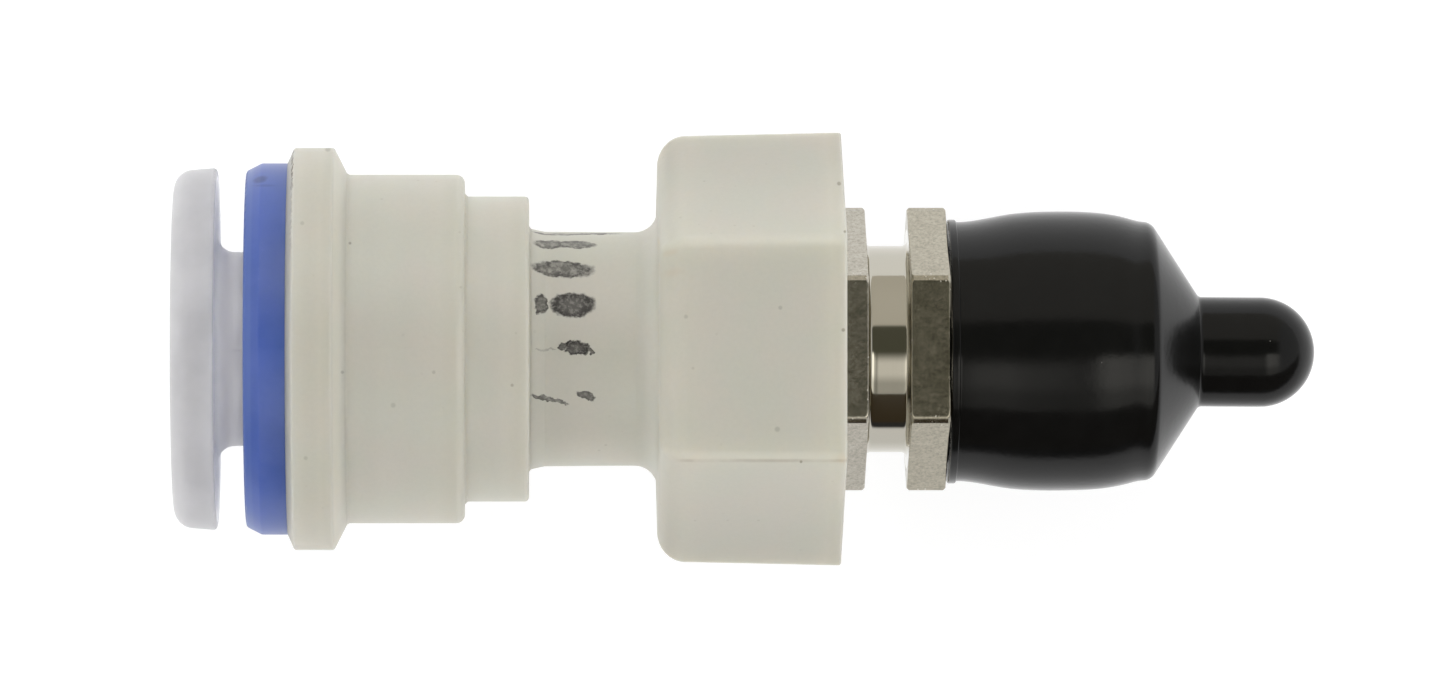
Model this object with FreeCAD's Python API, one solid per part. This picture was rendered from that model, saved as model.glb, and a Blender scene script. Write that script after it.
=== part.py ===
import FreeCAD, Part
import math
import os

from FreeCAD import Vector

# A straight water line reducing connector: a push-in socket for 5/16 in tube at one end, and a
# threaded metal nipple for 1/4 in compression fittings, under a push-on cap, at the other.
# Millimetres. The origin is on the flow axis, in the plane of the body's tube-side end face.
# +X runs from the tube port to the nipple, and +Z is normal to one flat of both hexagons.

# Tubes that the connector takes
inlet_tube_r = 3.97
inlet_tube_gap = 0.08
outlet_tube_r = 3.175
outlet_tube_gap = 0.075

# Clearances between pieces
collet_gap = 0.10
seat_gap = 0.03
insert_gap = 0.02
cap_gap = 0.05

# How far a cutting solid runs past what it cuts, and a joining one into what it joins
cut_margin = 1.0
core_margin = 0.33

# Moulded body, outside
lip_length = 0.33
lip_rise = 0.74
collar_length = 2.36
collar_step = 1.37
collar_ramp_length = 0.69
small_edge_r = 0.15
stage_1_edge_r = 0.45
stage_2_edge_r = 0.22
neck_flare_rise = 0.17
neck_flare_length = 0.80
neck_taper = 0.04
hex_fillet_r = 1.15
hex_across = 19.43
hex_length = 9.43
hex_draft_deg = 1.1
hex_back_edge_r = 1.45
hex_corner_r = 0.75
hex_open_edge_r = 0.12

# Walls and bores of the moulded body
stage_1_wall = 1.78
stage_2_wall = 1.72
neck_wall = 1.97
shoulder_wall = 1.45
seat_wall = 1.13
stop_wall = 2.10
socket_depth = 5.60
socket_lead = 0.45
flow_r = 2.40

# Retaining ring of the collet
ring_flange_inset = 0.05
ring_flange_length = 2.13
ring_bevel_width = 0.40
ring_bevel_length = 0.80
ring_edge_r = 0.25
ring_sleeve_gap = 0.15
ring_sleeve_wall = 1.35
bead_start = 3.60
bead_length = 1.20
bead_height = 0.28

# Release collet
collet_travel = 1.40
collet_stop_gap = 0.09
collet_flange_length = 2.20
collet_flange_inset = 0.23
collet_flange_draft = 0.18
collet_flange_front_r = 1.00
collet_flange_back_r = 0.20
collet_fillet_r = 0.90
collet_wall = 0.92
collet_lead = 0.45
collet_guide_end = 0.40
collet_relief = 0.25
collet_ramp_start = 1.40
collet_ramp_length = 2.00
collet_head_rise = 0.68
collet_head_length = 1.30
collet_nose_length = 0.90
collet_nose_fall = 0.65
collet_nose_gap = 0.60
finger_count = 6
slot_start = 1.00
slot_width = 0.80

# Steel teeth of the collet
tooth_bite = 0.07
tooth_root_cover = 0.60
tooth_root_start = 2.50
tooth_lean_deg = 37.0
tooth_thickness = 0.25
tooth_span_deg = 30.0

# Spacer ring and seals
spacer_length = 1.20
spacer_bore_gap = 0.20
spacer_lead = 0.30
tube_seal_cord = 2.30
tube_seal_squeeze = 0.20
tube_seal_side_gap = 0.05
nipple_seal_cord = 1.28
nipple_seal_side_gap = 0.10

# Nipple turned from hexagonal bar
nipple_across = 12.70
nipple_corner_cut = 0.08
nipple_corner_chamfer = 0.12
nipple_land_r = 5.60
nipple_lip_length = 0.90
nipple_land_length = 0.80
nipple_waist_step = 0.70
nipple_waist_length = 1.83
hex_1_sunk_length = 2.80
hex_1_proud_length = 1.21
groove_r = 5.30
groove_length = 2.15
groove_fillet_r = 0.20
hex_2_length = 2.00
thread_r = 5.55
thread_length = 9.50
thread_relief_step = 0.80
thread_relief_length = 1.20
thread_chamfer = 0.60
outlet_depth = 6.00
outlet_seat_depth = 1.15

# Protective cap
cap_start_gap = 0.08
cap_cavity_end_gap = 0.21
cap_cavity_corner_r = 0.50
cap_end_wall = 0.81
cap_rim_wall = 1.17
cap_rim_length = 0.42
cap_rim_step_length = 0.10
cap_barrel_start_wall = 1.05
cap_bulge_wall = 1.56
cap_bulge_at = 6.00
cap_near_flank_wall = 1.38
cap_far_flank_wall = 1.23
cap_flank_spread = 3.20
cap_shoulder_wall = 1.02
cap_shoulder_edge_r = 0.70
cap_cone_length = 2.47
cap_cone_foot_r = 0.30
cap_nub_r = 2.81
cap_nub_length = 5.96


def corner_points(corners):
    """Start, middle and end of the round at each corner of a closed outline in X and R."""
    count = len(corners)
    points = []
    for i in range(count):
        x, r = corners[i][:2]
        rounding = corners[i][2] if len(corners[i]) > 2 else 0.0
        here = Vector(x, 0, r)
        if rounding <= 0:
            points.append((here, here, here))
            continue
        before = Vector(corners[i - 1][0], 0, corners[i - 1][1]) - here
        after = Vector(corners[(i + 1) % count][0], 0, corners[(i + 1) % count][1]) - here
        half_angle = before.getAngle(after) / 2
        before.normalize()
        after.normalize()
        tangent_length = rounding / math.tan(half_angle)
        bisector = before + after
        bisector.normalize()
        middle_distance = rounding / math.sin(half_angle) - rounding
        start = here + before * tangent_length
        end = here + after * tangent_length
        points.append((start, here + bisector * middle_distance, end))
    return points


def outline(corners):
    """A closed outline of lines and tangent arcs from corners given as X, R and a radius."""
    points = corner_points(corners)
    edges = []
    for i in range(len(points)):
        start, middle, end = points[i]
        if (end - start).Length > 1e-6:
            edges.append(Part.Arc(start, middle, end).toShape())
        next_start = points[(i + 1) % len(points)][0]
        if (next_start - end).Length > 1e-6:
            edges.append(Part.LineSegment(end, next_start).toShape())
    return Part.Wire(edges)


def turned(wire, angle=360):
    """The solid that an outline sweeps about the flow axis."""
    return Part.Face(wire).revolve(Vector(0, 0, 0), Vector(1, 0, 0), angle)


def hexagon(across, x):
    """A hexagon across the flow axis with two flats level."""
    circumradius = across / math.sqrt(3)
    corners = []
    for i in range(6):
        angle = math.radians(60 * i)
        corners.append(Vector(x, circumradius * math.cos(angle), circumradius * math.sin(angle)))
    return Part.makePolygon(corners + corners[:1])


def hex_bar(across, x_start, x_end):
    """A sharp hexagonal bar along the flow axis."""
    face = Part.Face(hexagon(across, x_start))
    return face.extrude(Vector(x_end - x_start, 0, 0))


def edges_at(shape, x):
    """The edges that lie in the plane at X."""
    return [edge for edge in shape.Edges
            if all(abs(vertex.X - x) < 1e-4 for vertex in edge.Vertexes)]


def edges_across(shape, x):
    """The edges that cross the plane at X."""
    return [edge for edge in shape.Edges if edge.BoundBox.XMin < x < edge.BoundBox.XMax]


# Stations along the flow axis, from the collet inwards
collet_flange_back = -(ring_flange_length + collet_travel + collet_stop_gap)
collet_front = collet_flange_back - collet_flange_length
collet_ramp_end = collet_ramp_start + collet_ramp_length
collet_head_end = collet_ramp_end + collet_head_length
collet_end = collet_head_end + collet_nose_length
shoulder = collet_end + collet_travel + collet_nose_gap
seat_start = shoulder + spacer_length
seat_end = seat_start + tube_seal_cord + 2 * tube_seal_side_gap
tube_stop = seat_end + socket_depth
collar_ramp_end = collar_length + collar_ramp_length
stage_1_end = shoulder + shoulder_wall
stage_2_end = seat_end + seat_wall
neck_end = tube_stop + stop_wall
hex_end = neck_end + hex_length
insert_start = (hex_end - hex_1_sunk_length - nipple_waist_length - nipple_land_length
                - nipple_seal_cord - 2 * nipple_seal_side_gap - nipple_lip_length)
hex_1_end = hex_end + hex_1_proud_length
hex_2_start = hex_1_end + groove_length
hex_2_end = hex_2_start + hex_2_length
thread_end = hex_2_end + thread_length

# Radii, from the tube outwards
collet_bore_r = inlet_tube_r + inlet_tube_gap
collet_neck_r = collet_bore_r + collet_wall
collet_head_r = collet_neck_r + collet_head_rise
ring_bore_r = collet_neck_r + collet_gap
sleeve_inner_r = collet_head_r + ring_sleeve_gap
sleeve_r = sleeve_inner_r + ring_sleeve_wall
seat_r = inlet_tube_r - tube_seal_squeeze + tube_seal_cord + seat_gap
socket_r = collet_bore_r
stage_1_r = sleeve_r + stage_1_wall
stage_2_r = seat_r + stage_2_wall
neck_r = socket_r + neck_wall
neck_end_r = neck_r - neck_taper
collar_r = stage_1_r + collar_step
lip_r = collar_r - lip_rise
ring_flange_r = lip_r - ring_flange_inset
collet_flange_r = ring_flange_r - collet_flange_inset
outlet_r = outlet_tube_r + outlet_tube_gap
outlet_seat_r = outlet_r + outlet_seat_depth
nipple_corner_r = nipple_across / math.sqrt(3) - nipple_corner_cut
nipple_waist_r = nipple_land_r - nipple_waist_step
thread_relief_r = thread_r - thread_relief_step
tooth_root_r = collet_head_r - tooth_root_cover
cap_cavity_r = thread_r + cap_gap


def body_outside():
    """The turned form of the collar, stages and neck, and the drafted hexagon behind them."""
    core_r = neck_end_r + hex_fillet_r + core_margin
    core_end = neck_end + hex_fillet_r
    stem = turned(outline([
        (0, 0),
        (0, lip_r),
        (lip_length, collar_r, small_edge_r),
        (collar_length, collar_r, small_edge_r),
        (collar_ramp_end, stage_1_r, small_edge_r),
        (stage_1_end, stage_1_r, stage_1_edge_r),
        (stage_1_end, stage_2_r, small_edge_r),
        (stage_2_end, stage_2_r, stage_2_edge_r),
        (stage_2_end, neck_r + neck_flare_rise, small_edge_r),
        (stage_2_end + neck_flare_length, neck_r),
        (neck_end, neck_end_r, hex_fillet_r),
        (neck_end, core_r),
        (core_end, core_r),
        (core_end, 0),
    ]))
    back_across = hex_across - 2 * hex_length * math.tan(math.radians(hex_draft_deg))
    block = Part.makeLoft([hexagon(back_across, neck_end), hexagon(hex_across, hex_end)],
                          True, True)
    block = block.makeFillet(hex_back_edge_r, edges_at(block, neck_end))
    block = block.makeFillet(hex_corner_r, edges_across(block, (neck_end + hex_end) / 2))
    block = block.makeFillet(hex_open_edge_r, edges_at(block, hex_end))
    return stem.fuse(block).removeSplitter()


def sleeve_pocket():
    """The bores for the retaining ring, spacer, seal and tube, and the flow bore."""
    bore_r = sleeve_r + seat_gap
    bead_groove_r = bore_r + bead_height
    bead_end = bead_start + bead_length
    return turned(outline([
        (-cut_margin, 0),
        (-cut_margin, bore_r),
        (bead_start - seat_gap, bore_r),
        (bead_start + bead_length / 2, bead_groove_r),
        (bead_end + seat_gap, bead_groove_r),
        (bead_end + seat_gap, bore_r),
        (shoulder, bore_r),
        (shoulder, seat_r),
        (seat_end, seat_r),
        (seat_end, socket_r + socket_lead),
        (seat_end + socket_lead, socket_r),
        (tube_stop, socket_r),
        (tube_stop, flow_r),
        (insert_start + cut_margin, flow_r),
        (insert_start + cut_margin, 0),
    ]))


def insert_pocket():
    """The space that the nipple's shank and sunk hexagon fill in the moulding."""
    land_r = nipple_land_r + insert_gap
    waist_r = nipple_waist_r + insert_gap
    waist_end = hex_end - hex_1_sunk_length
    waist_start = waist_end - nipple_waist_length
    shank = turned(outline([
        (insert_start - insert_gap, 0),
        (insert_start - insert_gap, land_r),
        (waist_start + insert_gap, land_r),
        (waist_start + insert_gap, waist_r),
        (waist_end, waist_r),
        (waist_end, 0),
    ]))
    bar = hex_bar(nipple_across + 2 * insert_gap, waist_end - insert_gap, hex_end + cut_margin)
    round_bar = turned(outline([
        (waist_end - insert_gap, 0),
        (waist_end - insert_gap, nipple_corner_r + insert_gap),
        (hex_end + cut_margin, nipple_corner_r + insert_gap),
        (hex_end + cut_margin, 0),
    ]))
    return shank.fuse(bar.common(round_bar))


def connector_body():
    return body_outside().cut(sleeve_pocket()).cut(insert_pocket())


def retaining_ring():
    """The coloured ring that snaps into the body and holds the collet by an inner cone."""
    front = -ring_flange_length
    mouth_r = collet_fillet_r + collet_gap
    cone_slope = (collet_head_r - collet_neck_r) / collet_ramp_length
    cone_end = collet_ramp_start + (sleeve_inner_r - ring_bore_r) / cone_slope
    return turned(outline([
        (front, ring_bore_r, mouth_r),
        (front, ring_flange_r - ring_bevel_width, ring_edge_r),
        (front + ring_bevel_length, ring_flange_r, ring_edge_r),
        (0, ring_flange_r),
        (0, sleeve_r),
        (bead_start, sleeve_r),
        (bead_start + bead_length / 2, sleeve_r + bead_height),
        (bead_start + bead_length, sleeve_r + bead_height),
        (bead_start + bead_length, sleeve_r),
        (shoulder, sleeve_r),
        (shoulder, sleeve_inner_r),
        (cone_end, sleeve_inner_r),
        (collet_ramp_start, ring_bore_r),
    ]))


def tooth(grow, turn_deg):
    """One leaning blade of a cone, centred on a finger, or its pocket when grown by a gap."""
    lean = math.radians(tooth_lean_deg)
    tip_r = inlet_tube_r - tooth_bite
    root = Vector(collet_ramp_start + tooth_root_start, 0, tooth_root_r)
    inward = Vector(math.sin(lean), 0, -math.cos(lean))
    across = Vector(math.cos(lean), 0, math.sin(lean)) * (tooth_thickness / 2 + grow)
    tip = root + inward * ((tooth_root_r - tip_r) / math.cos(lean))
    root = root - inward * grow
    corners = []
    for point in (root - across, root + across, tip + across, tip - across):
        corners.append((point.x, point.z))
    span = tooth_span_deg + 2 * math.degrees(grow / tooth_root_r)
    blade = turned(outline(corners), span)
    blade.rotate(Vector(0, 0, 0), Vector(1, 0, 0), turn_deg - span / 2)
    return blade


def finger_angle(number):
    """Where the middle of a finger stands about the flow axis."""
    return (number + 0.5) * 360 / finger_count


def collet():
    """The release collet: a push flange, a guide bore, and fingers that close on the tube."""
    shape = turned(outline([
        (collet_front, collet_bore_r + collet_lead),
        (collet_front, collet_flange_r - collet_flange_draft, collet_flange_front_r),
        (collet_flange_back, collet_flange_r, collet_flange_back_r),
        (collet_flange_back, collet_neck_r, collet_fillet_r),
        (collet_ramp_start, collet_neck_r),
        (collet_ramp_end, collet_head_r),
        (collet_head_end, collet_head_r),
        (collet_end, collet_head_r - collet_nose_fall),
        (collet_end, collet_bore_r + collet_relief),
        (collet_guide_end + collet_relief, collet_bore_r + collet_relief),
        (collet_guide_end, collet_bore_r),
        (collet_front + collet_lead, collet_bore_r),
    ]))
    slot_length = collet_end + cut_margin - slot_start
    for number in range(finger_count):
        turn = 360 * number / finger_count
        slot = Part.makeBox(slot_length, slot_width, collet_head_r + cut_margin,
                            Vector(slot_start, -slot_width / 2, 0))
        root = Part.makeCylinder(slot_width / 2, collet_head_r + cut_margin,
                                 Vector(slot_start, 0, 0), Vector(0, 0, 1))
        for cutter in (slot, root):
            cutter.rotate(Vector(0, 0, 0), Vector(1, 0, 0), turn)
            shape = shape.cut(cutter)
        shape = shape.cut(tooth(seat_gap, finger_angle(number)))
    return shape


def spacer_ring():
    """The hard washer between the collet's space and the tube seal."""
    bore_r = inlet_tube_r + spacer_bore_gap
    outer_r = seat_r - seat_gap
    return turned(outline([
        (shoulder, bore_r + spacer_lead),
        (shoulder, outer_r),
        (seat_start, outer_r),
        (seat_start, bore_r),
        (shoulder + spacer_lead, bore_r),
    ]))


def tube_seal():
    """The O-ring that the tube passes through."""
    ring_r = seat_r - seat_gap - tube_seal_cord / 2
    middle = Vector((seat_start + seat_end) / 2, 0, 0)
    return Part.makeTorus(ring_r, tube_seal_cord / 2, middle, Vector(1, 0, 0))


def nipple_seal():
    """The O-ring in the groove of the nipple's shank."""
    ring_r = nipple_land_r - nipple_seal_cord / 2
    start = insert_start + nipple_lip_length + nipple_seal_side_gap
    middle = Vector(start + nipple_seal_cord / 2, 0, 0)
    return Part.makeTorus(ring_r, nipple_seal_cord / 2, middle, Vector(1, 0, 0))


def threaded_nipple():
    """The nipple, turned from hexagonal bar, so its two hexagons line up."""
    seal_groove_r = nipple_land_r - nipple_seal_cord - seat_gap
    seal_groove_start = insert_start + nipple_lip_length
    seal_groove_end = seal_groove_start + nipple_seal_cord + 2 * nipple_seal_side_gap
    land_end = seal_groove_end + nipple_land_length
    waist_end = land_end + nipple_waist_length
    corner = (nipple_corner_chamfer, nipple_corner_r - nipple_corner_chamfer)
    blank = turned(outline([
        (insert_start, flow_r),
        (insert_start, nipple_land_r),
        (seal_groove_start, nipple_land_r),
        (seal_groove_start, seal_groove_r),
        (seal_groove_end, seal_groove_r),
        (seal_groove_end, nipple_land_r),
        (land_end, nipple_land_r),
        (land_end, nipple_waist_r),
        (waist_end, nipple_waist_r),
        (waist_end, corner[1]),
        (waist_end + corner[0], nipple_corner_r),
        (hex_1_end - corner[0], nipple_corner_r),
        (hex_1_end, corner[1]),
        (hex_1_end, groove_r, groove_fillet_r),
        (hex_2_start, groove_r, groove_fillet_r),
        (hex_2_start, corner[1]),
        (hex_2_start + corner[0], nipple_corner_r),
        (hex_2_end - corner[0], nipple_corner_r),
        (hex_2_end, corner[1]),
        (hex_2_end, thread_relief_r),
        (hex_2_end + thread_relief_length, thread_relief_r),
        (hex_2_end + thread_relief_length + thread_r - thread_relief_r, thread_r),
        (thread_end - thread_chamfer, thread_r),
        (thread_end, thread_r - thread_chamfer),
        (thread_end, outlet_seat_r),
        (thread_end - outlet_seat_depth, outlet_r),
        (thread_end - outlet_depth, outlet_r),
        (thread_end - outlet_depth, flow_r),
    ]))
    return blank.common(hex_bar(nipple_across, insert_start - cut_margin, thread_end + cut_margin))


def protective_cap():
    """The soft cap: a stretched barrel over the thread, a cone and a solid nub."""
    start = hex_2_end + cap_start_gap
    cavity_end = thread_end + cap_cavity_end_gap
    barrel_start = start + cap_rim_length + cap_rim_step_length
    shoulder_x = cavity_end + cap_end_wall
    shoulder_r = cap_cavity_r + cap_shoulder_wall
    bulge_r = cap_cavity_r + cap_bulge_wall
    rim_r = cap_cavity_r + cap_rim_wall
    cone_end = shoulder_x + cap_cone_length
    nub_end = cone_end + cap_nub_length
    rounds = corner_points([
        (barrel_start, bulge_r),
        (shoulder_x, shoulder_r, cap_shoulder_edge_r),
        (cone_end, cap_nub_r, cap_cone_foot_r),
        (nub_end, cap_nub_r),
    ])
    shoulder_round = rounds[1]
    foot_round = rounds[2]
    nub_shoulder = Vector(nub_end - cap_nub_r, 0, cap_nub_r)
    nub_middle = Vector(nub_end - cap_nub_r * (1 - math.sqrt(0.5)), 0, cap_nub_r * math.sqrt(0.5))
    cavity_middle = Vector(cavity_end - cap_cavity_corner_r * (1 - math.sqrt(0.5)), 0,
                           cap_cavity_r - cap_cavity_corner_r * (1 - math.sqrt(0.5)))
    rim_inner = Vector(start, 0, cap_cavity_r)
    rim_front = Vector(start, 0, rim_r)
    rim_back = Vector(start + cap_rim_length, 0, rim_r)
    barrel_foot = Vector(barrel_start, 0, cap_cavity_r + cap_barrel_start_wall)
    barrel_top = Vector(start + cap_bulge_at, 0, bulge_r)
    near_flank = Vector(barrel_top.x - cap_flank_spread, 0, cap_cavity_r + cap_near_flank_wall)
    far_flank = Vector(barrel_top.x + cap_flank_spread, 0, cap_cavity_r + cap_far_flank_wall)
    barrel = Part.BSplineCurve()
    barrel.interpolate(
        Points=[barrel_foot, near_flank, barrel_top, far_flank, shoulder_round[0]],
        InitialTangent=Vector(1, 0, 0),
        FinalTangent=(shoulder_round[1] - shoulder_round[0]).normalize(),
    )
    nub_tip = Vector(nub_end, 0, 0)
    cavity_floor = Vector(cavity_end, 0, 0)
    cavity_rise = Vector(cavity_end, 0, cap_cavity_r - cap_cavity_corner_r)
    cavity_wall = Vector(cavity_end - cap_cavity_corner_r, 0, cap_cavity_r)
    wire = Part.Wire([
        Part.LineSegment(rim_inner, rim_front).toShape(),
        Part.LineSegment(rim_front, rim_back).toShape(),
        Part.LineSegment(rim_back, barrel_foot).toShape(),
        barrel.toShape(),
        Part.Arc(*shoulder_round).toShape(),
        Part.LineSegment(shoulder_round[2], foot_round[0]).toShape(),
        Part.Arc(*foot_round).toShape(),
        Part.LineSegment(foot_round[2], nub_shoulder).toShape(),
        Part.Arc(nub_shoulder, nub_middle, nub_tip).toShape(),
        Part.LineSegment(nub_tip, cavity_floor).toShape(),
        Part.LineSegment(cavity_floor, cavity_rise).toShape(),
        Part.Arc(cavity_rise, cavity_middle, cavity_wall).toShape(),
        Part.LineSegment(cavity_wall, rim_inner).toShape(),
    ])
    return turned(wire)


pieces = {
    "connector_body": connector_body(),
    "retaining_ring": retaining_ring(),
    "release_collet": collet(),
    "spacer_ring": spacer_ring(),
    "tube_o_ring": tube_seal(),
    "nipple_o_ring": nipple_seal(),
    "threaded_nipple": threaded_nipple(),
    "protective_cap": protective_cap(),
}
for number in range(finger_count):
    pieces["gripper_tooth_" + str(number + 1)] = tooth(0.0, finger_angle(number))

os.makedirs("parts", exist_ok=True)
for name, shape in pieces.items():
    solid = shape.Solids[0] if len(shape.Solids) == 1 else shape
    solid.exportStep("parts/" + name + ".step")
    box = solid.BoundBox
    print(name, len(shape.Solids), solid.isValid(), round(solid.Volume, 2),
          [round(value, 2) for value in (box.XMin, box.XMax, box.YMax, box.ZMax)])
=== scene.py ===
import math

import bpy
from mathutils import Matrix, Vector


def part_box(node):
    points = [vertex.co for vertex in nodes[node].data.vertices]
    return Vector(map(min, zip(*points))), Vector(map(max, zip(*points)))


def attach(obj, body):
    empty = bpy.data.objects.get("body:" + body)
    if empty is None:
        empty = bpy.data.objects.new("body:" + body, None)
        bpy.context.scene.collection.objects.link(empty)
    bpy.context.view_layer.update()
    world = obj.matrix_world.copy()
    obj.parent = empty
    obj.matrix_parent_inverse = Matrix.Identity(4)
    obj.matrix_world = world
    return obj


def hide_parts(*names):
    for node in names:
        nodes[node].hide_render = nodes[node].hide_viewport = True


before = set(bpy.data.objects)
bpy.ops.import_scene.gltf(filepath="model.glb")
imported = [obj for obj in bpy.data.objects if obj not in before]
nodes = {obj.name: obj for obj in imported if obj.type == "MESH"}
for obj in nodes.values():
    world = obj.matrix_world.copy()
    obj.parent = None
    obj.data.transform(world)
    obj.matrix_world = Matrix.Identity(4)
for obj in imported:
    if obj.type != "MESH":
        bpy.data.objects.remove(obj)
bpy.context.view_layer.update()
scene = bpy.context.scene
MM = 0.001


def span(node):
    """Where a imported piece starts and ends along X, the flow axis, in millimetres."""
    low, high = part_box(node)
    return low.x / MM, high.x / MM


BODY_END = span("connector_body")[1]
SHANK_START, THREAD_END = span("threaded_nipple")
CAP_START, NUB_END = span("protective_cap")

# The body's stations along X and its radii, which its box doesn't show. All lengths are millimetres
COLLAR_END = 2.36
COLLAR_R = 10.30
LIP_X = 0.28
RAMP_END = 3.05
STAGE_1_END = 9.05
STAGE_2_END = 12.33
NECK_R = 6.0
BODY_HEX_START = 18.9
BODY_END_HALF_FLAT = 9.715

# The nipple: its shank inside the body, two hexagons with a groove between them, thread and bores
SHANK_R = 5.60
SHANK_GROOVE = (21.42, 22.90)
SHANK_GROOVE_R = 4.29
SHANK_END = 23.70
SHANK_NECK_R = 4.90
HEX_1_START = 25.53
HEX_2_END = 33.69
HALF_FLAT = 6.35
CORNER_R = 7.25
CORNER_BEVEL = 0.12
WORN = 0.07
EDGE_BLEND = 0.05
GROOVE = (29.54, 31.69)
GROOVE_R = 5.30
GROOVE_ROUND = 0.28
RELIEF_R = 4.75
THREAD_START = 34.89
THREAD_R = 5.55
THREAD_DEPTH = 0.62
THREAD_CHAMFER = 0.60
PITCH = 25.4 / 24
MOUTH_R = 4.40
SOCKET_START = 37.19
SOCKET_R = 3.25
BORE_R = 2.40

# The cap: its rim, barrel, shoulder, cone and nub, and the thread's cavity inside it
CAP_ASKEW = -0.13
RIM_R = 6.66
BARREL_START = (34.29, 6.65)
BULGE = (39.77, 7.16)
SHOULDER = (44.21, 6.62)
SHOULDER_ROUND = 0.70
CONE_FOOT = (46.68, 2.81)
CONE_FOOT_ROUND = 0.30
CAVITY_END = 43.40
CAVITY_R = 5.72
CAVITY_ROUND = 0.50

# Painted shade on the ivory plastic at the collar, and painted light and shade along X as start, end and
# change
COLLAR_PAINTED_SHADE = 0.93
BODY_PAINTED_LIGHT_AND_SHADE = ((2.45, 2.75, 0.06), (4.5, 6.5, -0.04), (9.0, 9.1, 0.04), (12.2, 12.8, 0.045),
             (BODY_HEX_START, 19.5, -0.05))

# Painted shade and light by the body's corners: X, side (1 is past X, -1 is before it), change and reach
CORNER_PAINTED_LIGHT_AND_SHADE = ((0.0, 1, -0.12, 0.9), (COLLAR_END + 0.06, -1, -0.16, 0.75), (RAMP_END, 1, 0.11, 1.5),
               (STAGE_1_END, -1, -0.13, 1.5), (STAGE_1_END, 1, 0.15, 1.9),
               (STAGE_2_END, -1, -0.15, 1.5), (STAGE_2_END, 1, 0.08, 1.6),
               (BODY_HEX_START, -1, 0.09, 1.0), (BODY_HEX_START, 1, -0.13, 1.9),
               (BODY_END, -1, -0.15, 0.9))

# Single specks and pits on the body's side that faces up: X, Y, radius and strength
SPECKS = ((3.26, 5.35, 0.07, 0.5), (0.86, 6.35, 0.10, 0.25), (8.86, 3.12, 0.07, 0.25),
          (2.90, -1.17, 0.08, 0.4), (7.50, -1.17, 0.09, 0.3), (11.45, -1.83, 0.08, 0.4),
          (5.45, -2.84, 0.12, 0.25), (1.05, -5.50, 0.10, 0.25), (24.95, 2.08, 0.10, 0.3),
          (20.20, 1.63, 0.10, 0.25), (24.80, -4.04, 0.13, 0.3), (26.00, -5.68, 0.07, 0.6),
          (28.07, 8.41, 0.10, 0.6), (28.22, 5.92, 0.07, 0.7), (28.12, 0.96, 0.09, 0.6),
          (2.05, 10.22, 0.14, 0.5))

# Larger faint marks, as Graph.spots takes them: stains on the body and a smear on the blue ring
STAINS = ((19.65, 4.85, 0.30, 0.14, 0.3, 0.18), (19.75, 3.85, 0.40, 0.20, 0.2, 0.16),
          (28.30, -5.50, 0.20, 0.30, 0.0, 0.15))
SMEAR = ((-1.25, 8.62, 0.32, 0.17, 0.2, 0.85), (-1.05, 8.30, 0.55, 0.06, 0.0, 0.35))

# Ink blots, as Graph.spots takes them, with U along X and V along the neck's circumference
FADED_INK = ((13.85, 8.10, 1.40, 0.22, 0.03, 0.75), (13.30, 6.55, 0.80, 0.46, 0.06, 0.84),
             (14.70, 6.55, 1.00, 0.42, -0.06, 0.82), (14.05, 4.45, 1.55, 0.58, -0.05, 0.90),
             (13.20, -0.02, 0.50, 0.07, 0.0, 0.35), (13.40, -2.62, 0.95, 0.14, -0.30, 0.85))
DARK_INK = ((15.95, 8.32, 1.05, 0.20, 0.02, 0.95), (12.95, 2.30, 0.36, 0.54, 0.0, 0.90),
            (14.54, 2.30, 1.10, 0.68, 0.02, 0.94), (14.00, 0.12, 0.24, 0.17, 0.0, 0.90),
            (14.74, 0.06, 0.66, 0.38, -0.03, 0.98), (15.46, -0.08, 0.13, 0.20, 0.0, 0.90),
            (15.22, -2.42, 0.50, 0.24, -0.30, 0.85))

# The soft light's strength by angle about X, from -Y over the top to +Y, and the reflected lamps'
# power by how far their direction leans along X
SOFT_LIGHT = (0.10, 0.92, 1.64, 1.60, 0.92, 0.20, 0.15, 0.38, 1.22, 1.98, 2.04, 1.14, 0.15)
LAMP_POWER = (1.20, 1.20, 1.20, 1.20, 1.10, 1.00, 0.90, 0.80, 0.82, 0.82, 0.40, 0.60, 1.40, 1.90, 2.00,
              2.00, 1.80)
CEILING_COLOUR = (0.090, 0.089, 0.064)
LOW_CEILING_COLOUR = (0.045, 0.033, 0.018)
WALL_COLOUR = (0.60, 0.57, 0.50)
LAMP_COLOUR = (1.03, 1.0, 0.92)
END_WALL_COLOUR = (0.62, 0.62, 0.61)

# The camera: the point it looks at, how far above it that is, and the lens
CAMERA_TARGET = (22.28, -0.05, 0)
CAMERA_HEIGHT = 528
CAMERA_LENS = 256.3


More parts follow.
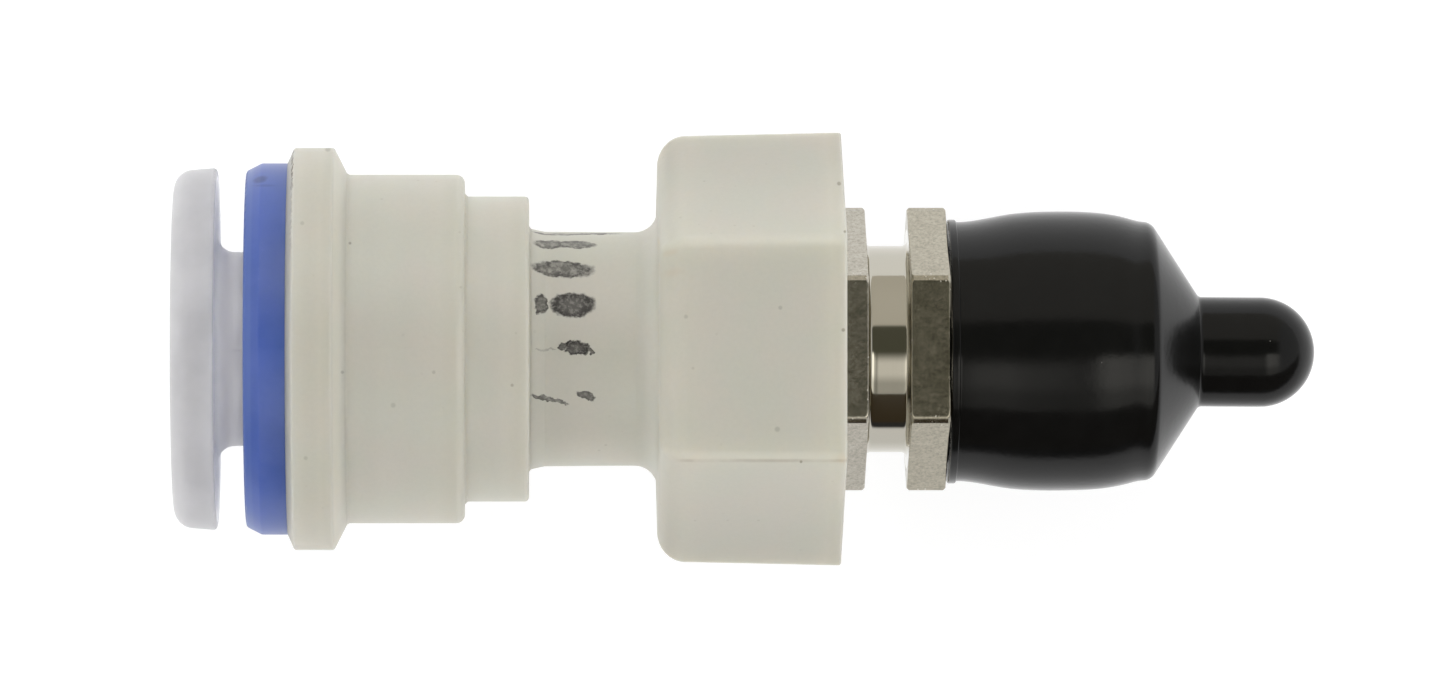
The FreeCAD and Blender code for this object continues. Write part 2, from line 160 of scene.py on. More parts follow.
# Node trees
class Graph:
    """A node tree, with short ways to add its nodes."""

    def __init__(self, tree):
        self.tree = tree
        tree.nodes.clear()

    def add(self, kind, **settings):
        made = self.tree.nodes.new(kind)
        for key, value in settings.items():
            setattr(made, key, value)
        return made

    def link(self, value, socket):
        """Links a socket to a socket, or sets the socket to a plain value."""
        if isinstance(value, bpy.types.NodeSocket):
            self.tree.links.new(value, socket)
        else:
            socket.default_value = value

    def math(self, operation, a, b=None):
        made = self.add("ShaderNodeMath", operation=operation)
        self.link(a, made.inputs[0])
        if b is not None:
            self.link(b, made.inputs[1])
        return made.outputs[0]

    def plus(self, a, b):
        return self.math("ADD", a, b)

    def minus(self, a, b):
        return self.math("SUBTRACT", a, b)

    def times(self, product, *others):
        for other in others:
            product = self.math("MULTIPLY", product, other)
        return product

    def apart(self, value, place):
        """How far a value is from a place, on either side of it."""
        return self.math("ABSOLUTE", self.minus(value, place))

    def vector(self, operation, a, b=None, scale=None):
        made = self.add("ShaderNodeVectorMath", operation=operation)
        self.link(a, made.inputs[0])
        if b is not None:
            self.link(b, made.inputs[1])
        if scale is not None:
            self.link(scale, made.inputs["Scale"])
        return made.outputs["Value" if operation == "LENGTH" else "Vector"]

    def split(self, value):
        made = self.add("ShaderNodeSeparateXYZ")
        self.link(value, made.inputs[0])
        return made.outputs[0], made.outputs[1], made.outputs[2]

    def join(self, x, y, z):
        made = self.add("ShaderNodeCombineXYZ")
        for value, socket in zip((x, y, z), made.inputs):
            self.link(value, socket)
        return made.outputs[0]

    def step(self, value, low, high, start=0.0, end=1.0):
        """A smooth step of a value from start at low to end at high."""
        made = self.add("ShaderNodeMapRange", interpolation_type="SMOOTHSTEP")
        for key, number in (("Value", value), ("From Min", low), ("From Max", high),
                            ("To Min", start), ("To Max", end)):
            self.link(number, made.inputs[key])
        return made.outputs["Result"]

    def curve(self, value, low, high, heights):
        """A curve of a value from low to high, through evenly spaced heights."""
        made = self.add("ShaderNodeValToRGB")
        self.link(self.math("DIVIDE", self.minus(value, low), high - low), made.inputs[0])
        elements = made.color_ramp.elements
        top = max(heights)
        last = len(heights) - 1
        for i, height in enumerate(heights):
            if i in (0, last):
                element = elements[0 if i == 0 else -1]
                element.position = i / last
            else:
                element = elements.new(i / last)
            element.color = (height / top, height / top, height / top, 1.0)
        return self.times(made.outputs[0], top)

    def mix(self, factor, a, b, blend="MIX"):
        """Mixes two colours."""
        made = self.add("ShaderNodeMix", data_type="RGBA", blend_type=blend)
        self.link(factor, made.inputs["Factor"])
        colours = [socket for socket in made.inputs if socket.type == "RGBA"]
        for value, socket in zip((a, b), colours):
            self.link(rgba(value), socket)
        return next(socket for socket in made.outputs if socket.type == "RGBA")

    def spots(self, u, v, places, soft, middle=1.0):
        """How strongly a place U and V is covered by spots, each given by its middle, half length,
        half height, lean and strength. Their middles have a share of that strength."""
        total = 0.0
        for mid_u, mid_v, half_u, half_v, lean, strength in places:
            along_u = self.minus(u, mid_u)
            along_v = self.minus(self.minus(v, mid_v), self.times(along_u, lean))
            out = self.vector("LENGTH", self.join(self.math("DIVIDE", along_u, half_u),
                                                  self.math("DIVIDE", along_v, half_v), 0.0))
            spot = self.times(self.step(out, 0.35, 0.85, middle, 1.0),
                              self.step(out, 1.0 - soft, 1.0 + soft, strength, 0.0))
            total = self.math("MAXIMUM", total, spot)
        return total


class Surface(Graph):
    """A material with one shader, and the place on the piece in millimetres."""

    def __init__(self, name):
        self.material = bpy.data.materials.new(name)
        self.material.use_nodes = True
        super().__init__(self.material.node_tree)
        self.output = self.add("ShaderNodeOutputMaterial")
        self.shader = self.add("ShaderNodeBsdfPrincipled")
        self.link(self.shader.outputs[0], self.output.inputs["Surface"])
        place = self.add("ShaderNodeTexCoord").outputs["Object"]
        self.place = self.vector("SCALE", place, scale=1 / MM)
        self.x, self.y, self.z = self.split(self.place)

    def radius(self):
        """How far the place is from the flow axis."""
        return self.vector("LENGTH", self.join(0.0, self.y, self.z))

    def noise(self, size, detail=2.0, roughness=0.5, place=None):
        """Noise from 0 to 1, its features about as large as size."""
        made = self.add("ShaderNodeTexNoise")
        self.link(self.place if place is None else place, made.inputs["Vector"])
        made.inputs["Scale"].default_value = 1 / size
        made.inputs["Detail"].default_value = detail
        made.inputs["Roughness"].default_value = roughness
        return made.outputs["Fac"]

    def cells(self, size):
        """The distance to the nearest of many points that are about a size apart, as a share of it."""
        made = self.add("ShaderNodeTexVoronoi")
        self.link(self.place, made.inputs["Vector"])
        made.inputs["Scale"].default_value = 1 / size
        return made.outputs["Distance"]

    def bump(self, height, distance):
        """A normal from a height of 0 to 1 that stands for a distance."""
        made = self.add("ShaderNodeBump")
        self.link(height, made.inputs["Height"])
        self.link(distance * MM, made.inputs["Distance"])
        return made.outputs[0]

    def set(self, **values):
        for key, value in values.items():
            self.link(value, self.shader.inputs[key.replace("_", " ")])


def rgba(value):
    """A colour as a socket takes it: three numbers get an alpha, and a socket stays as it is."""
    return (*value, 1.0) if isinstance(value, tuple) else value


def linear(red, green, blue):
    """A linear colour from three numbers of 0 to 255 as they show on a screen."""
    def one(value):
        value /= 255
        return value / 12.92 if value <= 0.04045 else ((value + 0.055) / 1.055) ** 2.4
    return one(red), one(green), one(blue)


# Materials
def painted_ivory_shading(g):
    """Painted light and shade on the ivory plastic, which evens out its shading: painted shade at the
    collar, the outer corners and towards the hexagon's sides, and painted light at the neck and in the
    inner corners."""
    painted_level = COLLAR_PAINTED_SHADE
    for start, end, change in BODY_PAINTED_LIGHT_AND_SHADE:
        painted_level = g.plus(painted_level, g.step(g.x, start, end, 0.0, change))
    # Painted shade towards the hexagon's sides
    outward_painted_shade = g.step(g.math("ABSOLUTE", g.y), 5.8, 10.8, 0.0, 0.12)
    painted_level = g.minus(painted_level, g.times(outward_painted_shade, g.step(g.x, BODY_HEX_START, 19.5)))
    # Painted shade beside the outer corners and painted light beside the inner ones
    for place, side, change, reach in CORNER_PAINTED_LIGHT_AND_SHADE:
        past = g.times(g.minus(g.x, place), side)
        painted_level = g.plus(painted_level, g.times(g.step(past, 0.0, reach, change, 0.0), g.step(past, -0.06, 0.06)))
    return painted_level


def ink_blots(g, round_deg, radius):
    """A worn line of ink blots round the neck."""
    wave_x = g.times(g.minus(g.noise(0.40, 3.0), 0.5), 0.55)
    other_noise = g.noise(0.35, 3.0, 0.6, g.vector("ADD", g.place, (7.0, 3.0, 1.0)))
    wave_arc = g.times(g.minus(other_noise, 0.5), 0.50)
    u = g.plus(g.x, wave_x)
    v = g.plus(g.times(round_deg, NECK_R * math.pi / 180), wave_arc)
    thinned = g.step(g.noise(0.34, 3.0, 0.6), 0.36, 0.56, 0.66, 1.0)
    ink = g.math("MAXIMUM", g.times(g.spots(u, v, FADED_INK, 0.12, 0.85), thinned),
                 g.spots(u, v, DARK_INK, 0.12, 0.88))
    worn = g.step(g.noise(0.20, 4.0, 0.65), 0.34, 0.56, 0.76, 1.0)
    on_neck = g.times(g.step(g.apart(g.x, 14.9), 2.5, 2.7, 1.0, 0.0), g.step(radius, 5.4, 5.6))
    return g.times(ink, worn, on_neck)


def ivory_plastic():
    g = Surface("ivory_plastic")
    patches = g.noise(3.2, 3.0)
    grain = g.noise(0.22, 2.0, 0.6)
    upper = g.step(g.z, 0.0, 0.5)
    radius = g.radius()
    round_deg = g.times(g.math("ARCTAN2", g.y, g.z), 180 / math.pi)
    colour = g.mix(g.step(patches, 0.3, 0.7), linear(189, 188, 176), linear(192, 188, 177))
    colour = g.mix(g.step(grain, 0.25, 0.75, 0.0, 0.10), colour, linear(168, 167, 157))
    # The colour is multiplied by painted light and shade, which evens out its shading
    colour = g.mix(1.0, colour, painted_ivory_shading(g), "MULTIPLY")

    # Fine specks all over, then the single ones and the stains on the side that faces up
    speck = g.times(g.step(g.cells(0.9), 0.05, 0.12, 1.0, 0.0), g.step(g.noise(2.5), 0.52, 0.66), 0.22)
    colour = g.mix(speck, colour, linear(120, 110, 95))
    dots = [(x, y, r, r, 0.0, strength) for x, y, r, strength in SPECKS]
    colour = g.mix(g.times(g.spots(g.x, g.y, dots, 0.4), upper), colour, linear(96, 92, 78))
    stains = g.spots(g.plus(g.x, g.times(g.noise(0.5), 0.4)), g.y, STAINS, 0.8)
    colour = g.mix(g.times(stains, upper), colour, linear(178, 150, 122))

    # A broken dark line where the lip was trimmed, and another along the hexagon's lower edge
    ragged = g.times(g.minus(g.noise(0.5, 3.0), 0.5), 0.25)
    from_line = g.math("ABSOLUTE", g.plus(g.minus(g.x, LIP_X), ragged))
    line = g.times(g.step(from_line, 0.03, 0.07, 1.0, 0.0), g.step(g.noise(0.32), 0.42, 0.52))
    around = g.plus(g.step(round_deg, 26.0, 34.0, 0.0, 0.30), g.step(round_deg, 50.0, 60.0, 0.0, 0.70))
    lip = g.times(line, around, g.step(radius, 9.75, 9.95), 0.9)
    colour = g.mix(lip, colour, linear(78, 72, 60))
    low_edge = g.times(g.step(g.apart(g.y, -5.62), 0.03, 0.12, 1.0, 0.0), upper,
                       g.step(g.x, 19.5, 20.3), g.step(g.noise(1.1), 0.35, 0.65, 0.10, 0.32))
    colour = g.mix(low_edge, colour, linear(128, 112, 98))

    ink = ink_blots(g, round_deg, radius)
    colour = g.mix(ink, colour, linear(30, 25, 26))
    height = g.plus(g.times(grain, 0.35), g.noise(1.6, 2.0))
    g.set(Base_Color=colour, Roughness=g.step(patches, 0.2, 0.8, 0.38, 0.48),
          Normal=g.bump(height, 0.012), Specular_IOR_Level=0.35,
          Subsurface_Weight=g.step(ink, 0.0, 0.5, 0.95, 0.0),
          Subsurface_Radius=(3.4 * MM, 3.1 * MM, 2.6 * MM), Subsurface_Scale=1.0)
    return g.material


def blue_plastic():
    g = Surface("blue_plastic")
    patches = g.noise(1.6, 3.0, 0.6)
    colour = g.mix(g.step(patches, 0.3, 0.75), linear(67, 92, 163), linear(72, 96, 168))
    # Painted light: the front bevel, past X -1.8, is painted a lighter blue
    colour = g.mix(g.step(g.x, -1.80, -1.65, 0.35, 0.0), colour, linear(92, 116, 170))
    fleck = g.step(g.noise(0.12, 2.0), 0.60, 0.80, 0.0, 0.10)
    colour = g.mix(fleck, colour, linear(112, 130, 188))
    smear = g.spots(g.plus(g.x, g.times(g.noise(0.3), 0.2)), g.y, SMEAR, 0.45)
    colour = g.mix(g.times(smear, g.step(g.z, 0.0, 0.5)), colour, linear(44, 62, 120))
    g.set(Base_Color=colour, Roughness=g.step(patches, 0.2, 0.8, 0.30, 0.36),
          Normal=g.bump(g.noise(0.9, 2.0), 0.002), Specular_IOR_Level=0.6, Subsurface_Weight=0.5,
          Subsurface_Radius=(0.5 * MM, 0.7 * MM, 1.5 * MM), Subsurface_Scale=1.0)
    return g.material


def translucent_white():
    g = Surface("translucent_white")
    patches = g.noise(2.2, 3.0)
    radius = g.radius()
    # Painted light: the neck behind the flange is painted much lighter than the rest
    neck = g.times(g.step(radius, 5.1, 6.6, 1.0, 0.0), g.step(g.x, -4.3, -3.7))
    colour = g.mix(g.step(patches, 0.3, 0.7), linear(171, 170, 171), linear(178, 177, 178))
    colour = g.mix(neck, colour, linear(218, 216, 218))

    # Painted light: the flange's back face is painted nearly white, standing for the light that comes
    # through it
    back = g.times(g.step(g.x, -3.80, -3.66), g.step(radius, 4.98, 5.45),
                   g.step(radius, 8.75, 8.95, 1.0, 0.0))
    colour = g.mix(back, colour, linear(253, 251, 254))
    g.set(Base_Color=colour, Roughness=g.step(patches, 0.2, 0.8, 0.30, 0.42),
          Normal=g.bump(g.noise(0.6, 2.0), 0.006), Subsurface_Weight=1.0,
          Subsurface_Radius=(4.4 * MM, 4.4 * MM, 4.8 * MM), Subsurface_Scale=1.0)
    return g.material


def nickel():
    g = Surface("plated_nickel")
    radius = g.radius()
    mottle = g.noise(0.65, 4.0, 0.62)
    grain = g.noise(0.13, 3.0, 0.65)
    dents = g.step(g.cells(0.34), 0.08, 0.55)
    speckle = g.noise(0.17, 3.0, 0.7)
    polished = g.step(radius, 6.05, 6.2, 1.0, 0.0)
    rolled = g.minus(1.0, polished)

    # The rolled flats are mottled and speckled, and the second hexagon's are a little warmer
    colour = g.mix(g.step(mottle, 0.3, 0.7), linear(184, 179, 167), linear(193, 188, 176))
    colour = g.mix(g.step(speckle, 0.50, 0.66, 0.0, 0.38), colour, linear(214, 209, 197))
    colour = g.mix(g.step(speckle, 0.34, 0.50, 0.42, 0.0), colour, linear(142, 139, 127))
    warmer = g.mix(1.0, colour, (0.91, 0.90, 0.85), "MULTIPLY")
    colour = g.mix(g.step(g.x, 31.0, 31.4), colour, warmer)
    colour = g.mix(polished, colour, linear(197, 193, 181))

    # The flats are pitted, and the turned parts have fine rings
    lengthwise = g.join(g.x, 0.0, 0.0)
    rings = g.noise(0.05, 2.0, 0.7, lengthwise)
    fine_rings = g.noise(0.022, 1.0, 0.5, lengthwise)
    pits = g.plus(g.times(grain, 0.60), g.times(dents, 0.35))
    lines = g.plus(g.times(rings, 0.12), g.times(fine_rings, 0.05))
    height = g.plus(g.times(pits, rolled), g.times(lines, polished))
    rough = g.times(g.step(mottle, 0.25, 0.75, 0.16, 0.21), g.step(polished, 0.0, 1.0, 1.0, 0.40))

    # Nicks in the plating along the hexagons' edges and corners
    edge = g.step(radius, 7.10, 7.18)
    for place in (GROOVE[0], GROOVE[1], HEX_2_END):
        edge = g.math("MAXIMUM", edge, g.step(g.apart(g.x, place), 0.05, 0.11, 1.0, 0.0))
    nicks = g.times(g.step(g.cells(0.26), 0.10, 0.24, 1.0, 0.0), g.step(g.noise(0.9), 0.44, 0.56),
                    edge, rolled)
    colour = g.mix(nicks, colour, linear(226, 221, 210))
    rough = g.plus(rough, g.times(nicks, 0.30))
    g.set(Base_Color=colour, Metallic=1.0, Roughness=rough, Normal=g.bump(height, 0.005))
    return g.material


def black_rubber():
    g = Surface("black_rubber")
    patches = g.noise(1.2, 3.0)
    colour = g.mix(patches, (0.0030, 0.0030, 0.0030), (0.0050, 0.0050, 0.0047))
    dust = g.times(g.step(g.cells(1.4), 0.02, 0.035, 1.0, 0.0), g.step(g.noise(3.0), 0.55, 0.62), 0.4)
    colour = g.mix(dust, colour, linear(120, 118, 112))
    uneven = g.plus(g.noise(0.3, 3.0), g.times(g.noise(1.7, 2.0), 2.0))
    g.set(Base_Color=colour, Roughness=g.step(patches, 0.2, 0.8, 0.13, 0.18),
          Normal=g.bump(uneven, 0.004), Specular_IOR_Level=0.25)
    return g.material


def seal_rubber():
    g = Surface("seal_rubber")
    patches = g.noise(0.8, 2.0)
    g.set(Base_Color=g.mix(patches, (0.012, 0.012, 0.012), (0.022, 0.021, 0.020)),
          Roughness=g.step(patches, 0.2, 0.8, 0.42, 0.55), Normal=g.bump(g.noise(0.2, 2.0), 0.004))
    return g.material


def hard_white():
    g = Surface("hard_white")
    patches = g.noise(1.0, 2.0)
    g.set(Base_Color=g.mix(patches, linear(214, 213, 206), linear(224, 222, 214)),
          Roughness=g.step(patches, 0.2, 0.8, 0.38, 0.5), Normal=g.bump(g.noise(0.4), 0.004))
    return g.material


def spring_steel():
    g = Surface("spring_steel")
    grain = g.noise(0.08, 3.0, 0.7, g.join(g.x, g.times(g.y, 0.1), g.times(g.z, 0.1)))
    g.set(Base_Color=g.mix(grain, linear(178, 176, 172), linear(205, 203, 199)), Metallic=1.0,
          Roughness=g.step(grain, 0.2, 0.8, 0.22, 0.38), Normal=g.bump(grain, 0.002))
    return g.material


# Turned meshes and their outlines
def turned_mesh(name, profile, angles, radius_at, closed):
    """A surface of rings about the flow axis, one ring to each X and R of the profile. A closed
    profile joins its last ring to its first, and an open one starts and ends on the axis."""
    vertices = []
    faces = []
    starts = []
    count = len(angles)
    for number, (x, r) in enumerate(profile):
        starts.append(len(vertices))
        if r == 0:
            vertices.append(Vector((x, 0, 0)))
            continue
        for angle in angles:
            here = radius_at(number, x, r, angle)
            vertices.append(Vector((x, here * math.sin(angle), here * math.cos(angle))))
    for number in range(len(profile) if closed else len(profile) - 1):
        after = (number + 1) % len(profile)
        a, b = starts[number], starts[after]
        for i in range(count):
            j = (i + 1) % count
            if profile[number][1] == 0:
                faces.append((a, b + j, b + i))
            elif profile[after][1] == 0:
                faces.append((a + i, a + j, b))
            else:
                faces.append((a + i, a + j, b + j, b + i))
    mesh = bpy.data.meshes.new(name)
    mesh.from_pydata([vertex * MM for vertex in vertices], [], faces)
    mesh.update()
    made = bpy.data.objects.new(name, mesh)
    scene.collection.objects.link(made)
    return made


def between(start, end, step):
    """Points about a step apart on the line from start to end, without its ends."""
    (x0, r0), (x1, r1) = start, end
    parts = max(1, round(math.hypot(x1 - x0, r1 - r0) / step))
    return [(x0 + (x1 - x0) * k / parts, r0 + (r1 - r0) * k / parts) for k in range(1, parts)]


def rounded(centre, radius, start, end, parts):
    """Points on an arc about a centre of X and R, its angles in degrees from +X."""
    points = []
    for k in range(parts + 1):
        angle = math.radians(start + (end - start) * k / parts)
        points.append((centre[0] + radius * math.cos(angle), centre[1] + radius * math.sin(angle)))
    return points


def round_corner(before, corner, after, radius, parts):
    """Points on the round at a corner of an outline of X and R."""
    here = Vector((*corner, 0))
    back = (Vector((*before, 0)) - here).normalized()
    ahead = (Vector((*after, 0)) - here).normalized()
    half = back.angle(ahead) / 2
    reach = radius / math.tan(half)
    centre = here + (back + ahead).normalized() * (radius / math.sin(half))
    start = here + back * reach - centre
    end = here + ahead * reach - centre
    points = []
    for k in range(parts + 1):
        spoke = start.slerp(end, k / parts).normalized() * radius
        points.append((centre.x + spoke.x, centre.y + spoke.y))
    return points


def spline(knots, start_slope, end_slope):
    """A smooth curve through knots of X and R with known slopes at its ends, as a function."""
    count = len(knots)
    rows = []
    for i in range(count):
        row = [0.0] * (count + 1)
        if i in (0, count - 1):
            row[i] = 1.0
            row[count] = end_slope if i else start_slope
        else:
            before = knots[i][0] - knots[i - 1][0]
            after = knots[i + 1][0] - knots[i][0]
            row[i - 1] = 1 / before
            row[i] = 2 / before + 2 / after
            row[i + 1] = 1 / after
            row[count] = (3 * (knots[i][1] - knots[i - 1][1]) / before ** 2
                          + 3 * (knots[i + 1][1] - knots[i][1]) / after ** 2)
        rows.append(row)
    for i in range(1, count):
        factor = rows[i][i - 1] / rows[i - 1][i - 1]
        rows[i] = [a - factor * b for a, b in zip(rows[i], rows[i - 1])]
    slopes = [0.0] * count
    for i in reversed(range(count)):
        ahead = rows[i][i + 1] * slopes[i + 1] if i + 1 < count else 0.0
        slopes[i] = (rows[i][count] - ahead) / rows[i][i]

    def at(x):
        i = max(0, min(count - 2, sum(x >= knot[0] for knot in knots) - 1))
        (x0, r0), (x1, r1) = knots[i], knots[i + 1]
        width = x1 - x0
        t = (x - x0) / width
        return ((2 * t ** 3 - 3 * t ** 2 + 1) * r0 + (t ** 3 - 2 * t ** 2 + t) * width * slopes[i]
                + (3 * t ** 2 - 2 * t ** 3) * r1 + (t ** 3 - t ** 2) * width * slopes[i + 1])
    return at


def shade(piece, material, sharp_deg):
    """Gives a piece its material, and smooth shading except over sharp edges."""
    piece.data.materials.append(material)
    piece.data.shade_smooth()
    piece.data.set_sharp_from_angle(angle=math.radians(sharp_deg))


# The nipple, with its hexagons' turned corners, worn edges and thread. Its rows are X, R and half
# the width over flats
def hexagon_band(start, end, inner_r):
    """A hexagonal collar's rows: up the first face from the radius inside it, over the worn edges
    and the turned corners, and most of the way down the second face."""
    inset = 0.20
    foot = CORNER_R - CORNER_BEVEL
    rows = [(0.0, r, HALF_FLAT) for r in (inner_r, 5.8, 6.15)]
    for k in range(5):
        turn = math.radians(22.5 * k)
        x = WORN * (1 - math.cos(turn))
        rows.append((x, foot + x, HALF_FLAT - WORN + WORN * math.sin(turn)))
    rows.append((CORNER_BEVEL, CORNER_R, HALF_FLAT))
    rows.append((inset, CORNER_R, HALF_FLAT))
    parts = 6
    middle = [(start + inset + (end - start - 2 * inset) * k / parts, CORNER_R, HALF_FLAT)
              for k in range(1, parts)]
    first = [(start + x, r, flat) for x, r, flat in rows]
    second = [(end - x, r, flat) for x, r, flat in reversed(rows)]
    return first + middle + second[:-1]


def plain_rows(points):
    """Rows for points of X and R, with the nipple's width over flats."""
    return [(x, r, HALF_FLAT) for x, r in points]


def make_nipple(material):
    rows = plain_rows([(SHANK_START, BORE_R), (SHANK_START, SHANK_R), (SHANK_GROOVE[0], SHANK_R),
                       (SHANK_GROOVE[0], SHANK_GROOVE_R), (SHANK_GROOVE[1], SHANK_GROOVE_R),
                       (SHANK_GROOVE[1], SHANK_R), (SHANK_END, SHANK_R), (SHANK_END, SHANK_NECK_R),
                       (HEX_1_START, SHANK_NECK_R)])
    rows += hexagon_band(HEX_1_START, GROOVE[0], SHANK_NECK_R)
    floor_start = GROOVE[0] + GROOVE_ROUND
    floor_end = GROOVE[1] - GROOVE_ROUND
    round_r = GROOVE_R + GROOVE_ROUND
    rows += plain_rows(rounded((floor_start, round_r), GROOVE_ROUND, 180, 270, 5))
    rows += plain_rows([(floor_start + (floor_end - floor_start) * k / 6, GROOVE_R) for k in range(1, 6)])
    rows += plain_rows(rounded((floor_end, round_r), GROOVE_ROUND, 270, 360, 5))
    rows += hexagon_band(GROOVE[1], HEX_2_END, round_r)[1:]
    rows += plain_rows([(HEX_2_END, RELIEF_R), (THREAD_START, RELIEF_R)])

    # The thread rises out of its relief at 45 degrees, and ends in a chamfer
    first_thread = len(rows)
    length = THREAD_END - THREAD_START
    rings_a_turn = 18
    count = round(length / PITCH * rings_a_turn)
    for k in range(1, count):
        x = THREAD_START + length * k / count
        rise = RELIEF_R + x - THREAD_START
        fall = THREAD_R - THREAD_CHAMFER + THREAD_END - x
        rows.append((x, min(THREAD_R, rise, fall), HALF_FLAT))
    last_thread = len(rows)
    rows += plain_rows([(THREAD_END, THREAD_R - THREAD_CHAMFER), (THREAD_END, MOUTH_R),
                        (THREAD_END - (MOUTH_R - SOCKET_R), SOCKET_R), (39.60, SOCKET_R),
                        (SOCKET_START, SOCKET_R), (SOCKET_START, BORE_R), (32.0, BORE_R),
                        (26.0, BORE_R)])
    first_bore = last_thread + 1

    # Angles over one of the six flats, closer together round its corners
    corner_deg = math.degrees(math.acos(HALF_FLAT / CORNER_R))
    half_sector = [0.0, 4.0, 8.0, 12.0, 16.0, 20.0, 23.5, 26.0, 27.4]
    half_sector += [corner_deg + offset for offset in (-0.9, -0.6, -0.4, -0.2, 0.0, 0.2, 0.4, 0.6)]
    sector = [-angle for angle in reversed(half_sector[1:])] + half_sector + [30.0]
    angles = [math.radians(60 * side + offset) for side in range(6) for offset in sector]

    # The thread's flank, as the place from its crest's middle in half pitches
    crest_end = 0.12
    root_start = 0.94

    def radius_at(number, x, r, angle):
        if number >= first_bore:
            return r
        within = (math.degrees(angle) + 30) % 60 - 30
        flat = rows[number][2] / math.cos(math.radians(within))
        blend = max(0.0, 1 - abs(r - flat) / EDGE_BLEND)
        here = min(r, flat) - EDGE_BLEND / 4 * blend * blend
        if first_thread <= number < last_thread:
            turn = (x / PITCH - angle / (2 * math.pi)) % 1.0
            flank = abs(turn - 0.5) * 2
            crest = min(1.0, max(0.0, (root_start - flank) / (root_start - crest_end)))
            here = min(here, THREAD_R - THREAD_DEPTH * (1 - crest))
        return here

    nipple = turned_mesh("nipple", [(x, r) for x, r, flat in rows], angles, radius_at, True)
    shade(nipple, material, 24)
    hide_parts("threaded_nipple")
    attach(nipple, "housing")


# The cap, a soft moulding that sits a little askew on the thread
def make_cap(material):
    cavity = [(CAVITY_END, 0.0), (CAVITY_END, 2.5)]
    cavity += rounded((CAVITY_END - CAVITY_ROUND, CAVITY_R - CAVITY_ROUND), CAVITY_ROUND, 0, 90, 5)
    cavity += [(40.0, CAVITY_R), (37.0, CAVITY_R), (34.2, CAVITY_R)]

    # The cavity's mouth flares a little, and a thin step goes round the rim
    rim = [(33.85, 5.74), (CAP_START, 5.80), (CAP_START, 6.30), (CAP_START, RIM_R)]
    rim += rounded((CAP_START + 0.09, 6.68), 0.09, 180, 90, 4)
    rim += rounded((CAP_START + 0.35, 6.70), 0.07, 90, 0, 3)
    rim += [(34.20, RIM_R)]

    # The barrel swells between the rim and the shoulder's round
    bulge_r = BULGE[1]
    shoulder = round_corner((BARREL_START[0], bulge_r), SHOULDER, CONE_FOOT, SHOULDER_ROUND, 8)
    end_slope = (SHOULDER[1] - bulge_r) / (SHOULDER[0] - BARREL_START[0])
    barrel = spline([BARREL_START, (36.57, 6.98), BULGE, (42.97, 6.83), shoulder[0]], 0.0, end_slope)
    parts = 70
    reach = shoulder[0][0] - BARREL_START[0]
    stations = [BARREL_START[0] + reach * k / parts for k in range(parts)]
    hull = [(x, barrel(x)) for x in stations]

    # A cone leads from there to the nub and its round tip
    nub_r = CONE_FOOT[1]
    foot = round_corner(SHOULDER, CONE_FOOT, (NUB_END, nub_r), CONE_FOOT_ROUND, 6)
    tip_start = (NUB_END - nub_r, nub_r)
    tip = rounded((NUB_END - nub_r, 0.0), nub_r, 90, 0, 24)[1:-1]
    profile = cavity + rim + hull + shoulder + between(shoulder[-1], foot[0], 0.25) + foot
    profile += between(foot[-1], tip_start, 0.3) + [tip_start] + tip + [(NUB_END, 0.0)]
    angles = [2 * math.pi * k / 144 for k in range(144)]

    def radius_at(number, x, r, angle):
        return r

    cap = turned_mesh("cap", profile, angles, radius_at, False)
    for vertex in cap.data.vertices:
        x = vertex.co.x / MM
        share = 1.0 if x < 36 else 1.0 - 0.25 * math.sin((x - 36) / 10 * math.pi)
        vertex.co.y += CAP_ASKEW * MM * share
    shade(cap, material, 40)
    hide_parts("protective_cap")
    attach(cap, "cap")


def dress(node, material):
    """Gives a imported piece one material."""
    mesh = nodes[node].data
    mesh.materials.clear()
    mesh.materials.append(material)
    for polygon in mesh.polygons:
        polygon.material_index = 0


dress("connector_body", ivory_plastic())
dress("retaining_ring", blue_plastic())
dress("release_collet", translucent_white())
dress("spacer_ring", hard_white())
seal_material = seal_rubber()
dress("tube_o_ring", seal_material)
dress("nipple_o_ring", seal_material)
steel_material = spring_steel()
for number in range(6):
    dress("gripper_tooth_" + str(number + 1), steel_material)
make_nipple(nickel())
make_cap(black_rubber())

# The floor touches the collar and the open end of the body's hexagon
rest_low = Vector((COLLAR_END, 0, -COLLAR_R)) * MM
rest_high = Vector((BODY_END, 0, -BODY_END_HALF_FLAT)) * MM
along = (rest_high - rest_low).normalized()
up = Vector((-along.z, 0, along.x))
across = Vector((0, 1, 0))


def make_floor():
    """A pale floor, which reflections see white near the object and darker further off."""
    half_side = 3.0
    mesh = bpy.data.meshes.new("floor")
    corners = [rest_low + along * a * half_side + across * b * half_side
               for a, b in ((-1, -1), (1, -1), (1, 1), (-1, 1))]
    mesh.from_pydata(corners, [], [(0, 1, 2, 3)])
    floor = bpy.data.objects.new("floor", mesh)
    scene.collection.objects.link(floor)
    g = Surface("floor")
    g.set(Base_Color=(0.30, 0.30, 0.30, 1), Roughness=1.0, Specular_IOR_Level=0.0,
          Emission_Color=(1, 1, 1, 1), Emission_Strength=0.80)
    mirrored = g.add("ShaderNodeLightPath").outputs["Is Glossy Ray"]
    far = g.plus(g.step(g.y, -7.0, -22.0, 0.0, 0.25), g.step(g.y, -60.0, -115.0, 0.0, 0.75))
    far = g.times(mirrored, g.plus(far, g.step(g.y, 7.0, 22.0, 0.0, 0.10)))
    black = g.add("ShaderNodeEmission")
    black.inputs["Color"].default_value = (0.03, 0.03, 0.03, 1)
    blend = g.add("ShaderNodeMixShader")
    g.link(far, blend.inputs[0])
    g.link(g.shader.outputs[0], blend.inputs[1])
    g.link(black.outputs[0], blend.inputs[2])
    g.link(blend.outputs[0], g.output.inputs["Surface"])
    mesh.materials.append(g.material)


make_floor()


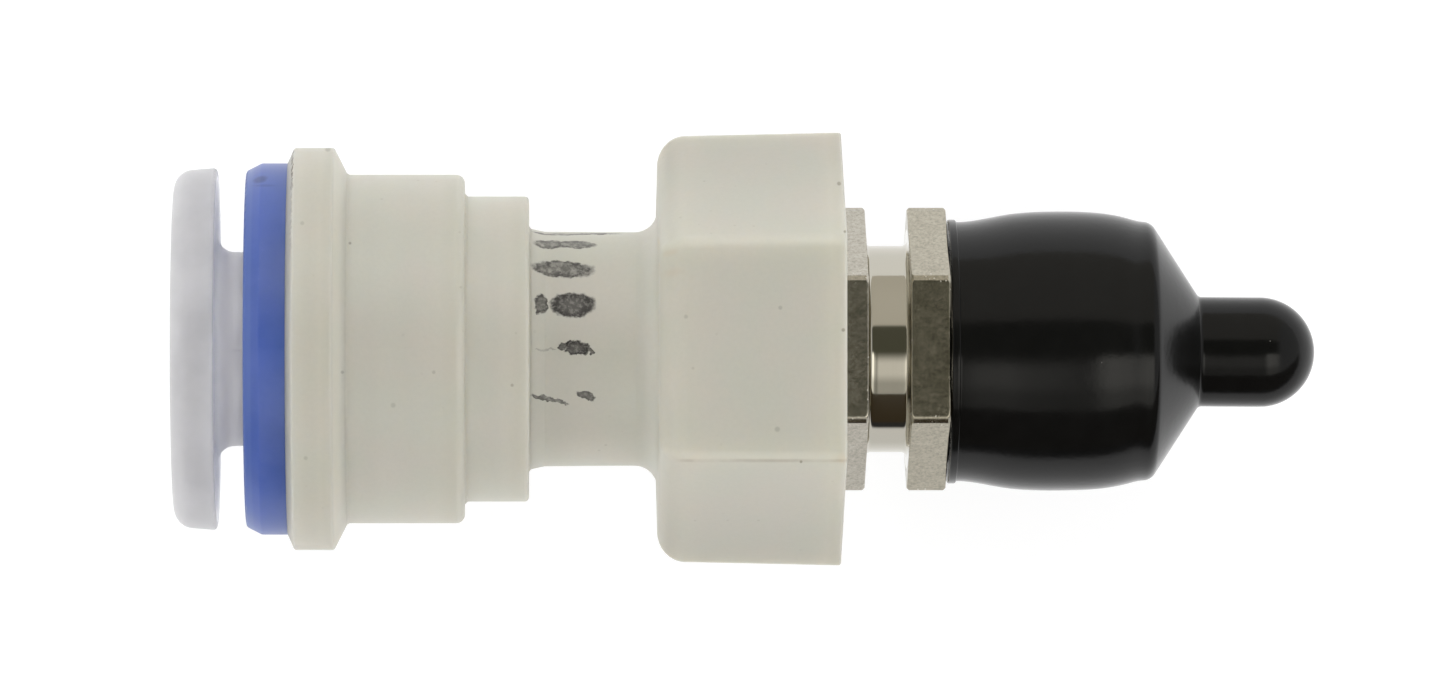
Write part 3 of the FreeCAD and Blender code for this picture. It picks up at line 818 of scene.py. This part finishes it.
def make_world():
    """Light: an even pale room, whose reflections have the broad bright and dark parts of a studio."""
    world = bpy.data.worlds.new("studio")
    scene.world = world
    world.use_nodes = True
    g = Graph(world.node_tree)
    output = g.add("ShaderNodeOutputWorld")
    background = g.add("ShaderNodeBackground")
    g.link(background.outputs[0], output.inputs["Surface"])
    x, y, z = g.split(g.add("ShaderNodeTexCoord").outputs["Generated"])
    angle = g.times(g.math("ARCTAN2", y, z), 180 / math.pi)
    sideways = g.math("ABSOLUTE", x)

    # Soft light from both sides, about halfway up. Most of it comes from straight across the
    # object, and some from its two ends
    soft = g.times(g.curve(angle, -90.0, 90.0, SOFT_LIGHT), g.step(sideways, 0.04, 0.17, 3.52, 0.30))
    from_ends = g.times(g.step(sideways, 0.60, 0.74, 0.0, 1.90), g.step(sideways, 0.90, 0.97, 1.0, 0.3))
    soft = g.plus(soft, from_ends)

    # Reflected light by the same angle: a dark ceiling, a wall on +Y, lamps on -Y and end walls
    upright = g.step(angle, -51.5, -50.0)
    lamp_start = g.step(x, 0.12, 0.24, -17.0, -7.0)
    lamps = g.times(g.step(angle, -2.0, lamp_start), upright, g.step(angle, -26.0, -40.0, 1.0, 0.5))
    power = g.curve(x, -0.4, 0.4, LAMP_POWER)
    ends = g.times(g.step(sideways, 0.50, 0.70), upright)
    seen = g.mix(g.step(angle, -50.0, -53.0), CEILING_COLOUR, LOW_CEILING_COLOUR)
    seen = g.mix(g.step(angle, 24.0, 28.0), seen, WALL_COLOUR)
    seen = g.mix(lamps, seen, g.mix(1.0, LAMP_COLOUR, power, "MULTIPLY"))
    seen = g.mix(ends, seen, END_WALL_COLOUR)

    path = g.add("ShaderNodeLightPath").outputs
    level = g.mix(path["Is Glossy Ray"], g.mix(1.0, (1, 1, 1), soft, "MULTIPLY"), seen)
    white = g.math("MAXIMUM", path["Is Camera Ray"], path["Is Transmission Ray"])
    g.link(g.mix(white, level, (1, 1, 1)), background.inputs["Color"])


make_world()


def make_camera():
    """A camera straight above the floor, about half a metre up, as in the photo."""
    data = bpy.data.cameras.new("camera")
    data.sensor_fit = "HORIZONTAL"
    data.sensor_width = 36
    data.lens = CAMERA_LENS
    data.clip_start = 0.01
    data.clip_end = 20
    camera = bpy.data.objects.new("camera", data)
    scene.collection.objects.link(camera)
    place = Vector(CAMERA_TARGET) * MM + up * CAMERA_HEIGHT * MM
    turn = Matrix((along, across, up)).transposed().to_4x4()
    camera.matrix_world = Matrix.Translation(place) @ turn
    scene.camera = camera


make_camera()
scene.view_settings.view_transform = "Standard"
